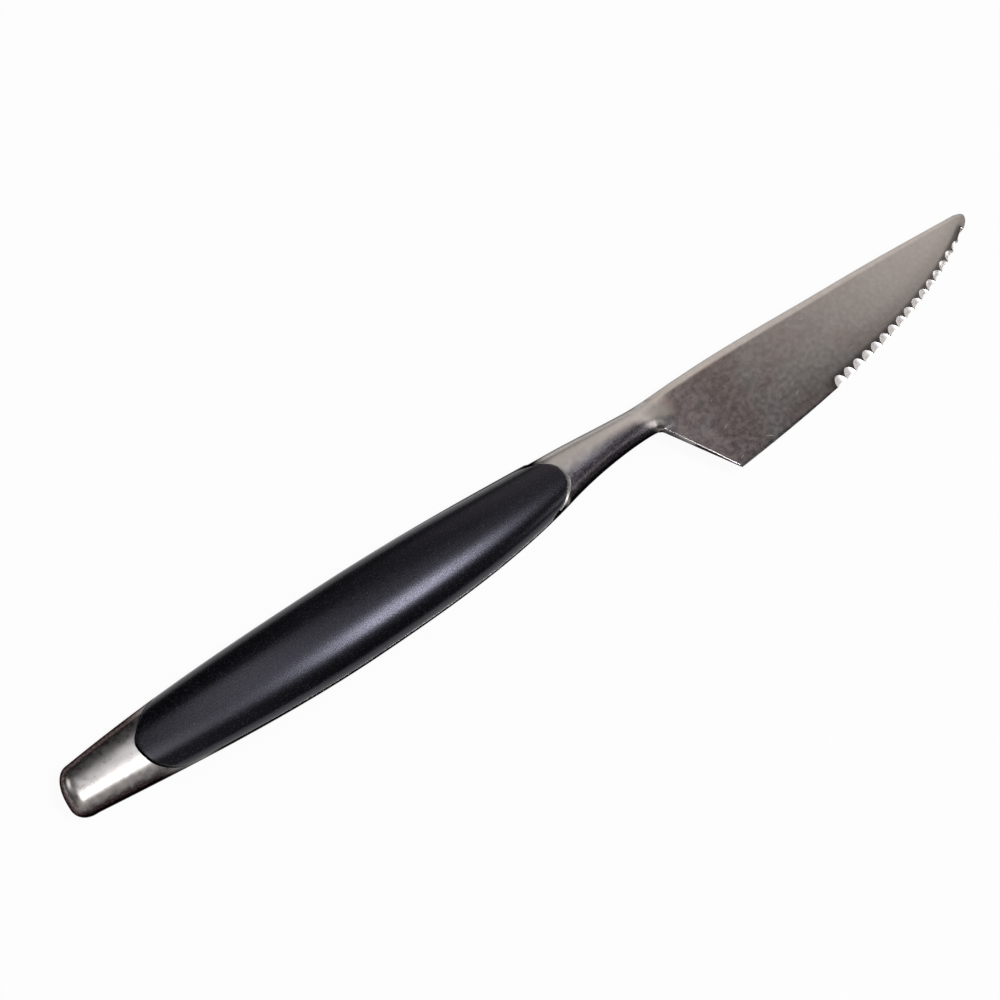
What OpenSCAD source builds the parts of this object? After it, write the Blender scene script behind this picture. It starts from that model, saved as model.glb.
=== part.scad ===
// Steak knife with a full-length tang, lying on its left side. The blade, the neck, the tang and the
// pommel are one steel forging. Two composite scales are bonded to the tang over three hidden pins.
// X runs from the pommel to the tip, Y from the cutting edge to the spine, and Z up through the sides.
// The origin is at the middle of the knife's outline, on the surface that the handle rests on.

/* [Blade] */
// Length of the blade from the root of the choil to the tip
blade_l = 87.3; // [75:0.1:110]
// Depth of the blade from the spine to the heel's corner
heel_depth = 22.4; // [18:0.1:26]
// How far the heel's corner lies ahead of the choil's root
heel_lead = 9.1; // [6:0.1:12]
// Radius of the hollow at the choil's root
choil_r = 2; // [1:0.25:3]
// How far the spine falls from over the heel to the tip
spine_fall = 3.1; // [1:0.1:6]
// Radius of the rounded tip
tip_r = 2.2; // [1.5:0.1:3]
// Angle by which the tip's rounding runs on below the blade's axis
tip_wrap = 105; // [90:1:120]
// Slope of the cutting edge at the heel, in degrees
heel_slope = 3; // [0:0.1:5]
// Slope of the cutting edge at the tip, in degrees
tip_slope = 32; // [24:1:38]
// Thickness of the spine over the heel
spine_t = 2.4; // [2:0.1:3.2]
// Thickness of the spine at the tip
tip_t = 0.9; // [0.8:0.05:1.2]
// Thickness of the blade at the heel's corner
heel_t = 0.5; // [0.4:0.05:0.8]
// Share of the spine's thickness that its two bevels leave
spine_flat_share = 0.55; // [0.4:0.05:0.8]
// Angle between a spine bevel and the knife's middle plane
spine_bevel_angle = 20; // [15:1:30]

/* [Serration] */
// Number of teeth
tooth_count = 17; // [5:1:18]
// Distance between the tips of two teeth along the edge
tooth_pitch = 2.92; // [2:0.01:3.2]
// How far each scoop runs up the right face from the edge
scoop_reach = 2; // [1.5:0.1:3]
// How far the edge draws in between two teeth
scallop_depth = 0.4; // [0.2:0.05:0.6]

/* [Handle] */
// Length of bare steel from the pommel's end to the rear of the scales
pommel_l = 14.3; // [10:0.1:18]
// Length of a scale along its middle
scale_l = 91.9; // [80:0.1:105]
// Length of bare steel from the front of the scales to the choil's root
neck_l = 23.4; // [18:0.1:30]
// Length of the pommel's rounded end
dome_l = 3.2; // [2.5:0.1:6]
// Height of the pommel's back above the handle's axis
pommel_back = 5.3; // [4:0.1:7]
// Depth of the pommel's belly below the axis
pommel_belly = 4.4; // [4:0.1:7]
// How far the pommel's very end lies below the middle of its dome
pommel_drop = 1.2; // [0:0.1:2]
// Thickness of the pommel
pommel_t = 7.8; // [6.5:0.1:10]
// Distance from the pommel's end to the fullest part of the handle
full_x = 58.5; // [45:0.5:70]
// Height of the handle's back above the axis where it is fullest
full_back = 7.65; // [6.5:0.05:10]
// Depth of the handle's belly below the axis where it is fullest
full_belly = 9; // [7:0.1:11]
// Thickness of the handle where it is fullest
full_t = 10.6; // [9.5:0.1:14]
// Height of the handle's back at the front of the scales
shoulder_back = 5.4; // [4.5:0.05:7]
// Depth of the handle's belly at the front of the scales
shoulder_belly = 5; // [4.5:0.05:7]
// Thickness of the handle at the front of the scales
shoulder_t = 8.7; // [8:0.1:10]
// Depth of the neck's belly below the axis
neck_belly = 2.95; // [2.5:0.05:4]
// Height of the spine above the axis over the heel
spine_y = 4.15; // [3:0.05:5]
// Height of the neck's back above the axis, where the neck is slimmest
neck_back = 3.8; // [3:0.05:5]
// Thickness of the neck
neck_t = 6.3; // [5:0.1:7.5]
// Distance from the slimmest part of the neck to the choil's root
slim_off = 4.5; // [3:0.1:6]

/* [Tang and scales] */
// Thickness of the tang between the scales
tang_t = 2.8; // [2:0.1:3.5]
// Thickness of the bond between the tang and a scale
bond_t = 0.15; // [0.1:0.01:0.3]
// Gap between each end of a scale and the steel
end_gap = 0.06; // [0.03:0.01:0.15]
// Radius of the scales' round rear end, seen from the side
rear_r = 6.9; // [6:0.1:7.5]
// Radius of the scales' round front end, seen from the side
front_r = 5.6; // [5:0.1:6.5]
// Width of the bevel that the shoulder has round the scales' front end
shoulder_bevel = 0.8; // [0.4:0.1:1.2]

/* [Hidden pins] */
// Diameter of a pin
pin_d = 2.5; // [2:0.1:3]
// Length of a pin
pin_l = 6.6; // [5.5:0.1:7]
// Gap round a pin, and at each of its ends
pin_gap = 0.03; // [0.01:0.01:0.05]
// Distance from the rear of the scales to the rear pin, and from their front to the front pin
pin_inset = 12; // [10:0.5:20]

/* [Hidden] */
$fn = 64;
steel = [0.62, 0.60, 0.58];
composite = [0.07, 0.07, 0.08];
adhesive = [0.75, 0.65, 0.40];

// Every cut runs on past the surface that it opens by this much
overrun = 1;

// Places along the knife, from the pommel's end. The neck's form has sunk into the blade over the heel
scale_rear = pommel_l;
scale_front = pommel_l + scale_l;
root_x = scale_front + neck_l;
heel_x = root_x + heel_lead;
neck_x = root_x - slim_off;
overall_l = root_x + blade_l;

// The spine is one straight line from over the heel to the tip
ground_l = overall_l - heel_x;
spine_slope = -spine_fall / ground_l;
function spine_at(x) = spine_y + spine_slope * (x - heel_x);

// The heel's corner
heel = [heel_x, spine_y - heel_depth];
choil_angle = atan2(-neck_belly - heel[1], heel_lead);

// Half of the blade's thickness is a plane over X and Y, through the spine's two ends and the heel
taper_y = (spine_t - heel_t) / 2 / heel_depth;
taper_x = ((tip_t - spine_t) / 2 + taper_y * spine_fall) / ground_l;
function blade_half_t(x, y) = spine_t / 2 + taper_x * (x - heel_x) + taper_y * (y - spine_y);

// The spine's bevels keep their angle and narrow with the spine's thickness
bevel_rise = tan(spine_bevel_angle);
spine_taper = (tip_t - spine_t) / 2 / ground_l;
bevel_x = spine_flat_share * spine_taper + bevel_rise * spine_slope;

// The tip's rounding touches the spine from below, and the cutting edge starts at its lower end
tip_center = [overall_l - tip_r, spine_at(overall_l - tip_r) - tip_r / cos(atan(spine_slope))];
tip_top_angle = 90 + atan(spine_slope);
edge_end = tip_center + tip_r * [cos(-tip_wrap), sin(-tip_wrap)];

// The cutting edge is a curve of three points, whose middle one lies where the end tangents meet
heel_way = [cos(heel_slope), sin(heel_slope)];
end_way = [cos(tip_slope), sin(tip_slope)];
function turn(a, b) = a[0] * b[1] - a[1] * b[0];
edge_knee = heel + heel_way * turn(edge_end - heel, end_way) / turn(heel_way, end_way);
function edge_at(u) = (1 - u) * (1 - u) * heel + 2 * u * (1 - u) * edge_knee + u * u * edge_end;
function edge_way(u) = (1 - u) * (edge_knee - heel) + u * (edge_end - edge_knee);

// Length along the edge back from the tip, so that the teeth stand at an even pitch
edge_steps = 60;
edge_points = [for (i = [0:edge_steps]) edge_at(1 - i / edge_steps)];
function edge_run(i) = i == 0 ? 0 : edge_run(i - 1) + norm(edge_points[i] - edge_points[i - 1]);
run_table = [for (i = [0:edge_steps]) [edge_run(i), 1 - i / edge_steps]];
function edge_u(run) = lookup(run, run_table);

// A smooth curve through the points [x, y], with a slope share at each
function span(x, xs) = max([0, for (i = [0:len(xs) - 2]) if (x >= xs[i]) i]);
function smooth(x, xs, ys, slopes) =
    let (i = span(x, xs), h = xs[i + 1] - xs[i], t = (x - xs[i]) / h)
    (1 + 2 * t) * (1 - t) * (1 - t) * ys[i] + t * (1 - t) * (1 - t) * h * slopes[i]
    + t * t * (3 - 2 * t) * ys[i + 1] - t * t * (1 - t) * h * slopes[i + 1];

// The handle's outline: rounded pommel, fullest part, front of the scales, neck and flare
handle_xs = [dome_l, full_x, scale_front, neck_x, heel_x];
flare_half_t_share = 0.7;
flare_belly = neck_belly + heel_lead / 2;
back_ys = [pommel_back, full_back, shoulder_back, neck_back, spine_y];
belly_ys = [pommel_belly, full_belly, shoulder_belly, neck_belly, flare_belly];
side_zs = [pommel_t / 2, full_t / 2, shoulder_t / 2, neck_t / 2,
           blade_half_t(heel_x, 0) * flare_half_t_share];
shoulder_back_slope_share = -0.07;
shoulder_belly_slope_share = -0.2;
back_slope_shares = [0.12, 0, shoulder_back_slope_share, -0.1, spine_slope];
belly_slope_shares = [0.13, 0, shoulder_belly_slope_share, 0, 0.7];
side_slope_shares = [0.05, 0, -0.055, -0.12, -0.06];
function back(x) = smooth(x, handle_xs, back_ys, back_slope_shares);
function belly(x) = smooth(x, handle_xs, belly_ys, belly_slope_shares);
function side(x) = smooth(x, handle_xs, side_zs, side_slope_shares);

// The handle's section is a rounded oblong, which turns into an oval at the neck
oblong_power = 2.5;
oval_power = 2.1;
function section_power(x) =
    oval_power + (oblong_power - oval_power) * min(1, max(0, (root_x - x) / neck_l));
function signed_power(v, p) = sign(v) * pow(abs(v), p);
section_points = 36;
function section(x, size, place) =
    [for (k = [0:section_points - 1])
        let (a = 360 * k / section_points, p = 2 / section_power(x),
             mid = (back(x) - belly(x)) / 2, half = (back(x) + belly(x)) / 2)
        [place,
         mid - (1 - size) * pommel_drop + size * half * signed_power(cos(a), p),
         size * side(x) * signed_power(sin(a), p)]];

// The pommel's end is a dome, cut flat at its very end by the first section
dome_power = 2.5;
dome_first_angle = 14;
dome_steps = 7;
function dome_angle(i) = dome_first_angle + (90 - dome_first_angle) * i / dome_steps;
function dome_place(a) = dome_l * (1 - pow(cos(a) / cos(dome_first_angle), 2 / dome_power));
dome_sections = [for (i = [0:dome_steps - 1])
    section(dome_l, pow(sin(dome_angle(i)), 2 / dome_power), dome_place(dome_angle(i)))];
span_steps = [9, 10, 6, 6];
long_sections = [for (s = [0:len(span_steps) - 1], i = [0:span_steps[s] - 1])
    let (x = handle_xs[s] + (handle_xs[s + 1] - handle_xs[s]) * i / span_steps[s]) section(x, 1, x)];
last_section = section(heel_x, 1, heel_x);
sections = concat(dome_sections, long_sections, [last_section]);

// Outline of a scale: round ends, with straight runs that leave the arcs and pass out of the handle
end_arc_angle = 70;
wide_y = max(full_back, full_belly) + overrun;
rear_center = [scale_rear + rear_r, 0];
front_center = [scale_front - front_r, 0];
middle_pin_x = (scale_rear + scale_front) / 2;
rear_pin_x = scale_rear + pin_inset;
front_pin_x = scale_front - pin_inset;

// Middle of the knife's outline, and the height of the middle plane over the resting surface
mid_y = (full_back + heel[1]) / 2;
mid_z = full_t / 2;

module placed() {
    translate([-overall_l / 2, -mid_y, mid_z]) children();
}

// The outer form of the handle from the pommel to where it has sunk into the blade
module handle_form() {
    n = section_points;
    m = len(sections);
    polyhedron(
        points = [for (s = sections) each s],
        faces = concat(
            [[for (k = [0:n - 1]) k]],
            [[for (k = [n - 1:-1:0]) (m - 1) * n + k]],
            [for (j = [0:m - 2], k = [0:n - 1]) [j * n + k, (j + 1) * n + k, j * n + (k + 1) % n]],
            [for (j = [0:m - 2], k = [0:n - 1])
                [j * n + (k + 1) % n, (j + 1) * n + k, (j + 1) * n + (k + 1) % n]]
        )
    );
}

// All that lies above the plane that passes through the point at, with rises of gx and gy
module above(at, gx, gy) {
    b = -atan(gx);
    a = atan(gy * cos(b));
    translate(at)
        rotate([a, b, 0])
            translate([-overall_l, -overall_l, 0])
                cube([2 * overall_l, 2 * overall_l, overall_l]);
}

// Everything that is ground off the right side of the blade's blank: the face and the spine's bevel
module right_grind() {
    above([heel_x, spine_y, spine_t / 2], taper_x, taper_y);
    above([heel_x, spine_y, spine_flat_share * spine_t / 2], bevel_x, -bevel_rise);
}

// One scoop of the serration, deep enough to pass through the edge for scallop_depth
module scoop(number) {
    u = edge_u((number + 0.5) * tooth_pitch);
    at = edge_at(u);
    way = edge_way(u);
    half_t = blade_half_t(at[0], at[1]);
    depth = 2 * half_t / (1 - scallop_depth / scoop_reach);
    r = (depth * depth + tooth_pitch * tooth_pitch / 4) / (2 * depth);
    lean = atan(depth / scoop_reach) + atan(taper_y);
    translate([at[0], at[1], half_t])
        rotate([0, 0, atan2(way[1], way[0])])
            translate([0, 0, r - depth])
                rotate([lean - 90, 0, 0])
                    translate([0, 0, -overrun])
                        cylinder(r = r, h = overrun + 2 * scoop_reach);
}

// The blade's outline, from inside the neck along the spine, round the tip, and back along the edge
module blade_outline() {
    tip_steps = 14;
    choil_steps = 6;
    rise_steps = 8;
    rise = [for (i = [1:rise_steps])
        let (x = neck_x + (heel_x - neck_x) * i / rise_steps)
        [x, back(x)]];
    choil_center = [root_x - choil_r * tan(choil_angle / 2), -neck_belly - choil_r];
    tip_arc = [for (i = [0:tip_steps])
        let (a = tip_top_angle - (tip_top_angle + tip_wrap) * i / tip_steps)
        tip_center + tip_r * [cos(a), sin(a)]];
    edge = [for (i = [1:edge_steps]) edge_points[i]];
    choil_arc = [for (i = [0:choil_steps])
        let (a = 90 - choil_angle * (1 - i / choil_steps))
        choil_center + choil_r * [cos(a), sin(a)]];
    polygon(concat([[neck_x, 0]], rise, tip_arc, edge, choil_arc, [[neck_x, -neck_belly / 2]]));
}

module blade() {
    difference() {
        translate([0, 0, -spine_t / 2])
            linear_extrude(spine_t)
                blade_outline();
        right_grind();
        mirror([0, 0, 1]) right_grind();
        for (number = [0:tooth_count - 1]) scoop(number);
    }
}

// The room of the right scale, from the height low upwards, drawn in by gap at its two ends
module scale_room(low, gap) {
    tall = full_t;
    rear = rear_r - gap;
    front = front_r - gap;
    rear_end = rear_center + rear * [-cos(end_arc_angle), sin(end_arc_angle)];
    front_end = front_center + front * [cos(end_arc_angle), sin(end_arc_angle)];
    rear_out = [rear_end[0] + (wide_y - rear_end[1]) * tan(end_arc_angle), wide_y];
    front_out = [front_end[0] - (wide_y - front_end[1]) * tan(end_arc_angle), wide_y];
    upper = [rear_end, rear_out, front_out, front_end];
    translate([0, 0, low]) {
        translate(rear_center) cylinder(r = rear, h = tall);
        translate(front_center) cylinder(r = front, h = tall);
        linear_extrude(tall)
            polygon(concat(upper, [for (i = [3:-1:0]) [upper[i][0], -upper[i][1]]]));
    }
}

// The bevel on the shoulder round the scale's front end, open at the top
module shoulder_cut() {
    low = side(scale_front) - shoulder_bevel;
    translate([front_center[0], front_center[1], low])
        cylinder(r1 = front_r, r2 = front_r + 2 * shoulder_bevel, h = 2 * shoulder_bevel);
}

module pin_hole(x, low, high) {
    translate([x, 0, low])
        cylinder(d = pin_d + 2 * pin_gap, h = high - low);
}

module pin_holes(low, high) {
    for (x = [rear_pin_x, middle_pin_x, front_pin_x]) pin_hole(x, low, high);
}

module blade_and_tang() {
    color(steel)
        placed()
            difference() {
                union() {
                    difference() {
                        handle_form();
                        scale_room(tang_t / 2, 0);
                        mirror([0, 0, 1]) scale_room(tang_t / 2, 0);
                        shoulder_cut();
                        mirror([0, 0, 1]) shoulder_cut();
                    }
                    blade();
                }
                pin_holes(-tang_t / 2 - overrun, tang_t / 2 + overrun);
            }
}

module scale() {
    difference() {
        intersection() {
            handle_form();
            scale_room(tang_t / 2 + bond_t, end_gap);
        }
        pin_holes(0, pin_l / 2 + pin_gap);
    }
}

module bond() {
    difference() {
        intersection() {
            handle_form();
            scale_room(tang_t / 2, end_gap);
            translate([0, -wide_y, 0]) cube([overall_l, 2 * wide_y, tang_t / 2 + bond_t]);
        }
        pin_holes(0, tang_t);
    }
}

module right_scale() {
    color(composite) placed() scale();
}

module left_scale() {
    color(composite) placed() mirror([0, 0, 1]) scale();
}

module right_bond() {
    color(adhesive) placed() bond();
}

module left_bond() {
    color(adhesive) placed() mirror([0, 0, 1]) bond();
}

module pin(x) {
    color(steel)
        placed()
            translate([x, 0, -pin_l / 2])
                cylinder(d = pin_d, h = pin_l);
}

blade_and_tang();
right_scale();
left_scale();
right_bond();
left_bond();
pin(front_pin_x);  // front_pin
pin(middle_pin_x);  // middle_pin
pin(rear_pin_x);  // rear_pin
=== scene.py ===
"""Looks of a steak knife that lies on its left side: forging, scales, finishes and studio.

Places are in metres. The shapes are worked out along the knife first: X from the pommel's end, Y up
from the handle's axis, Z from the middle plane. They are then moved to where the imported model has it.
"""

import math

import bmesh
import bpy
import numpy as np
from bpy.props import FloatProperty, FloatVectorProperty, IntProperty, PointerProperty
from mathutils import Matrix, Vector


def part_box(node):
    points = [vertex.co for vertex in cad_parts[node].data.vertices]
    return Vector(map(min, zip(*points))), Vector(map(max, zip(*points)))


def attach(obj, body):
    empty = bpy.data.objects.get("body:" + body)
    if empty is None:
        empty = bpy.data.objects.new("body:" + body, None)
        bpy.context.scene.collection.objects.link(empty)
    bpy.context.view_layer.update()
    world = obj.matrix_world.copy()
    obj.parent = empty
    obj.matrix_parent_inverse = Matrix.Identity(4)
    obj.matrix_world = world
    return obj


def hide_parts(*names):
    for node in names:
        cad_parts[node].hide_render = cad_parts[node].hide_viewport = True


bl_info = {
    "name": "Steak knife",
    "version": (1, 0, 0),
    "blender": (4, 5, 0),
    "location": "View3D > Sidebar > Knife",
    "description": "Makes the steel forging, the composite scales and their finishes, and a plain studio",
    "category": "Object",
}

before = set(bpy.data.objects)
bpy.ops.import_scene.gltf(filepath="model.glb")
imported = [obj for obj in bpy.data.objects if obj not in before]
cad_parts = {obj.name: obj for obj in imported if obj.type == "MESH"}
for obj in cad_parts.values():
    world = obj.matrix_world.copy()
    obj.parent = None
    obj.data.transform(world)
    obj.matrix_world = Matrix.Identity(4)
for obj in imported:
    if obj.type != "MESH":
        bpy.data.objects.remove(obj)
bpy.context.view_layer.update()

RING_POINTS = 66
DOME_ROWS = 26
TIP_ROWS = 28
SCALE_ROWS = 150
SCALE_COLUMNS = 96
RIM_STEPS = 5
LIP_POINTS = 90
# How many points the outlines are worked out at, and how often a scale's end is moved onto its outline
LINE_POINTS = 400
EDGE_POINTS = 160
TIP_POINTS = 600
FIT_POINTS = 60
END_TRIES = 200
# What the narrow and the wide painted shade over the edge leave of the steel's colour
EDGE_CORE = 0.36
EDGE_WIDE = 0.82
# How much of the narrow painted shade goes on past the edge's end, and how much the painted shade round the
# blade's root takes away
EDGE_AT_TIP = 0.35
ROOT_SHADE_DEPTH = 0.38

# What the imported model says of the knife: its reach, its scales, its tang and its pins
STEEL_LOW, STEEL_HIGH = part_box("blade_and_tang")
SCALE_LOW, SCALE_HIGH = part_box("right_scale")
BOND_LOW, BOND_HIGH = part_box("right_bond")
OVERALL_L = STEEL_HIGH.x - STEEL_LOW.x
HANDLE_T = SCALE_HIGH.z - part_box("left_scale")[0].z
MID_Z = (STEEL_LOW.z + STEEL_HIGH.z) / 2
TANG_T = 2 * (BOND_LOW.z - MID_Z)
BOND_T = BOND_HIGH.z - BOND_LOW.z


def length(name, text, default, low, high):
    """A size in metres that a user may set."""
    return FloatProperty(name=name, description=text, default=default, min=low, max=high,
                         precision=5, unit="LENGTH")


def slope(name, text, default, low, high):
    """An angle, given here in degrees."""
    return FloatProperty(name=name, description=text, default=math.radians(default),
                         min=math.radians(low), max=math.radians(high), unit="ROTATION")


def share(name, text, default):
    """A share from nothing to one."""
    return FloatProperty(name=name, description=text, default=default, min=0, max=1, subtype="FACTOR")


def colour(name, text, default):
    """A colour in linear light."""
    return FloatVectorProperty(name=name, description=text, default=default, size=3, min=0, max=1,
                               subtype="COLOR")


class BladeSizes(bpy.types.PropertyGroup):
    """Sizes of the blade."""
    blade_l: length("Blade length", "From the root of the choil to the tip", 0.0873, 0.075, 0.11)
    heel_depth: length("Heel depth", "From the spine to the heel's corner", 0.02203, 0.018, 0.026)
    heel_lead: length("Heel lead", "How far the heel lies ahead of the choil's root", 0.0091, 0.006, 0.012)
    choil_r: length("Choil radius", "Radius of the hollow at the choil's root", 0.002, 0.001, 0.003)
    spine_y: length("Spine height", "Height of the spine over the axis at the heel", 0.00378, 0.003, 0.005)
    spine_fall: length("Spine fall", "How far the spine falls towards the tip", 0.00333, 0.001, 0.006)
    spine_t: length("Spine thickness", "Thickness of the spine over the heel", 0.0024, 0.002, 0.0032)
    tip_t: length("Tip thickness", "Thickness of the spine at the tip", 0.0009, 0.0008, 0.0012)
    heel_t: length("Heel thickness", "Thickness of the blade at the heel's corner", 0.0005, 0.0004, 0.0008)
    tip_r: length("Tip radius", "Radius of the rounded tip", 0.0022, 0.0015, 0.003)
    tip_y: length("Tip height", "Height of the rounded tip's middle over the axis", -0.00106, -0.002, 0)
    tip_wrap: slope("Tip wrap", "How far the tip's rounding runs on below the axis", 105, 90, 120)
    heel_slope: slope("Heel slope", "Slope of the cutting edge at the heel", 3, 0, 5)
    tip_slope: slope("Tip slope", "Slope of the cutting edge at the tip", 32, 24, 38)
    flat_share: share("Spine flat", "Share of the spine's thickness that its bevels leave", 0.55)
    spine_bevel: slope("Spine bevel", "Angle between a spine bevel and the middle plane", 20, 15, 30)
    edge_bevel: slope("Edge bevel", "Angle between the whetted bevel and the middle plane", 24, 8, 30)
    edge_half_t: length("Edge", "Half of the thickness of the whetted edge", 0.00003, 0.00001, 0.0001)
    roll_w: length("Roll width", "How far from the edge the right face begins to roll over", 0.0085,
                   0.001, 0.01)
    tip_roll_w: length("Roll width at the tip", "The same at the tip", 0.005, 0.0005, 0.006)
    roll_slope: FloatProperty(name="Roll", description="Slope of the rolled strip at the edge", default=0.02,
                              min=0, max=0.5)


class SerrationSizes(bpy.types.PropertyGroup):
    """Sizes of the scoops ground into the right side of the edge."""
    count: IntProperty(name="Teeth", description="Number of scoops", default=17, min=5, max=18)
    pitch: length("Pitch", "Distance between two teeth along the edge", 0.00292, 0.002, 0.0032)
    reach: length("Reach", "How far a scoop runs up the face", 0.002, 0.001, 0.003)
    tip_reach: length("Reach at the tip", "The same for the scoop next to the tip", 0.0013, 0.0008, 0.003)
    scallop: length("Scallop", "How far the edge draws in between two teeth", 0.0004, 0.0002, 0.0006)
    outside: share("Outside", "How far a scoop's middle lies outside the edge, as a share of its reach", 0.4)
    lift: share("Lift", "Height of the grinding stone's middle over the face, as a share of its own", 0.6)


class HandleSizes(bpy.types.PropertyGroup):
    """Sizes of the handle, the pommel and the neck."""
    dome_l: length("Dome", "Length of the pommel's rounded end", 0.0036, 0.0025, 0.006)
    pommel_drop: length("Drop", "How far the pommel's very end lies below its middle", 0.00177, 0, 0.0025)
    pommel_back: length("Pommel back", "Height of the pommel's back over the axis", 0.0053, 0.004, 0.007)
    pommel_belly: length("Pommel belly", "Depth of the pommel's belly", 0.0044, 0.004, 0.007)
    pommel_t: length("Pommel thickness", "Thickness of the pommel", 0.0078, 0.0065, 0.01)
    full_x: length("Fullest place", "From the pommel's end to the fullest part", 0.0585, 0.045, 0.07)
    full_back: length("Full back", "Height of the back where it is fullest", 0.00765, 0.0065, 0.01)
    full_belly: length("Full belly", "Depth of the belly where it is fullest", 0.009, 0.007, 0.011)
    shoulder_back: length("Shoulder back", "Height of the back at the scales' front", 0.0052, 0.0045, 0.007)
    shoulder_belly: length("Shoulder belly", "Depth of the belly at the scales' front", 0.00515,
                           0.0045, 0.007)
    shoulder_t: length("Shoulder thickness", "Thickness at the scales' front", 0.0087, 0.008, 0.01)
    neck_back: length("Neck back", "Height of the neck's back", 0.00368, 0.003, 0.005)
    neck_belly: length("Neck belly", "Depth of the neck's belly", 0.00302, 0.0025, 0.004)
    neck_t: length("Neck thickness", "Thickness of the neck", 0.0062, 0.005, 0.0075)
    slim_off: length("Slim place", "From the slimmest part of the neck to the choil", 0.0045, 0.003, 0.006)
    sink_off: length("Sink place", "How far beyond the choil's root the neck has sunk into the blade", 0.0042,
                     0.002, 0.008)
    end_gap: length("End gap", "Gap between a scale's ends and the steel", 0.00006, 0.00003, 0.00015)
    rear_wear: length("Rear wear", "How much wider that gap has worn at the rear end", 0.00022, 0, 0.0004)
    rear_r: length("Rear radius", "Radius of the scales' rear end", 0.0069, 0.006, 0.0075)
    front_r: length("Front radius", "Radius of the scales' front end", 0.0056, 0.005, 0.0065)
    rim_r: length("Rim radius", "Rounding of a scale's rim", 0.00025, 0.0001, 0.0005)
    lip_w: length("Lip width", "Width of the bevel on the shoulder round the scales' front", 0.0006,
                  0.0004, 0.0012)
    lip_slope: FloatProperty(name="Lip slope", description="Steepness of that bevel", default=0.8,
                             min=0.3, max=2)


class KnifeFinishes(bpy.types.PropertyGroup):
    """Colours of the finishes."""
    steel: colour("Steel", "Satin stainless steel", (0.56, 0.53, 0.51))
    stain: colour("Stain", "Brown cast of the steel over the heel", (0.50, 0.42, 0.40))
    # The two skin colours are painted shade, laid where the steel's faces turn away from the light
    skin: colour("Forge skin", "Dark skin that the forging keeps on its sides", (0.105, 0.095, 0.108))
    warm_shade: colour("Warm skin", "The same skin on the pommel, a little redder", (0.125, 0.098, 0.096))
    bright: colour("Ground steel", "Freshly ground steel in the scoops", (0.86, 0.83, 0.81))
    composite: colour("Composite", "Black composite of the scales", (0.0014, 0.0013, 0.002))
    fleck: colour("Fleck", "Pale flecks in the composite", (0.085, 0.085, 0.105))
    epoxy: colour("Epoxy", "Dark cured epoxy of the bonds", (0.030, 0.024, 0.020))
    floor: colour("Floor", "Pale floor", (0.95, 0.95, 0.95))


def smooth_curve(x, xs, ys, slopes):
    """Height at x of the smooth curve through the places xs and heights ys, with a slope at each."""
    x = np.asarray(x, float)
    i = np.clip(np.searchsorted(xs, x, side="right") - 1, 0, len(xs) - 2)
    xs, ys, slopes = np.array(xs), np.array(ys), np.array(slopes)
    h = xs[i + 1] - xs[i]
    t = (x - xs[i]) / h
    return ((1 + 2 * t) * (1 - t) ** 2 * ys[i] + t * (1 - t) ** 2 * h * slopes[i]
            + t * t * (3 - 2 * t) * ys[i + 1] - t * t * (1 - t) * h * slopes[i + 1])


def share_curve(x, xs, shares):
    """Share at x of the smooth curve through the places xs and their shares."""
    return smooth_curve(x, xs, shares, np.gradient(shares, xs))


def step_up(x, low, high):
    """Nothing below low, one above high, and smooth between them."""
    t = np.clip((np.asarray(x, float) - low) / (high - low), 0, 1)
    return t * t * (3 - 2 * t)


def soft_min(a, b, k):
    """The lower of two heights, with a fillet of about k where they cross."""
    near = np.maximum(k - np.abs(a - b), 0)
    return np.minimum(a, b) - near ** 2 / (4 * np.maximum(k, 1e-9))


def soft_max(a, b, k):
    """The higher of two heights, with the same fillet."""
    return -soft_min(-a, -b, k)


def signed_power(v, p):
    """The power of the size of v, with the sign of v."""
    return np.sign(v) * np.abs(v) ** p


def crossed(p, q):
    """Cross product of two plane vectors."""
    return p[0] * q[1] - p[1] * q[0]


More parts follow.
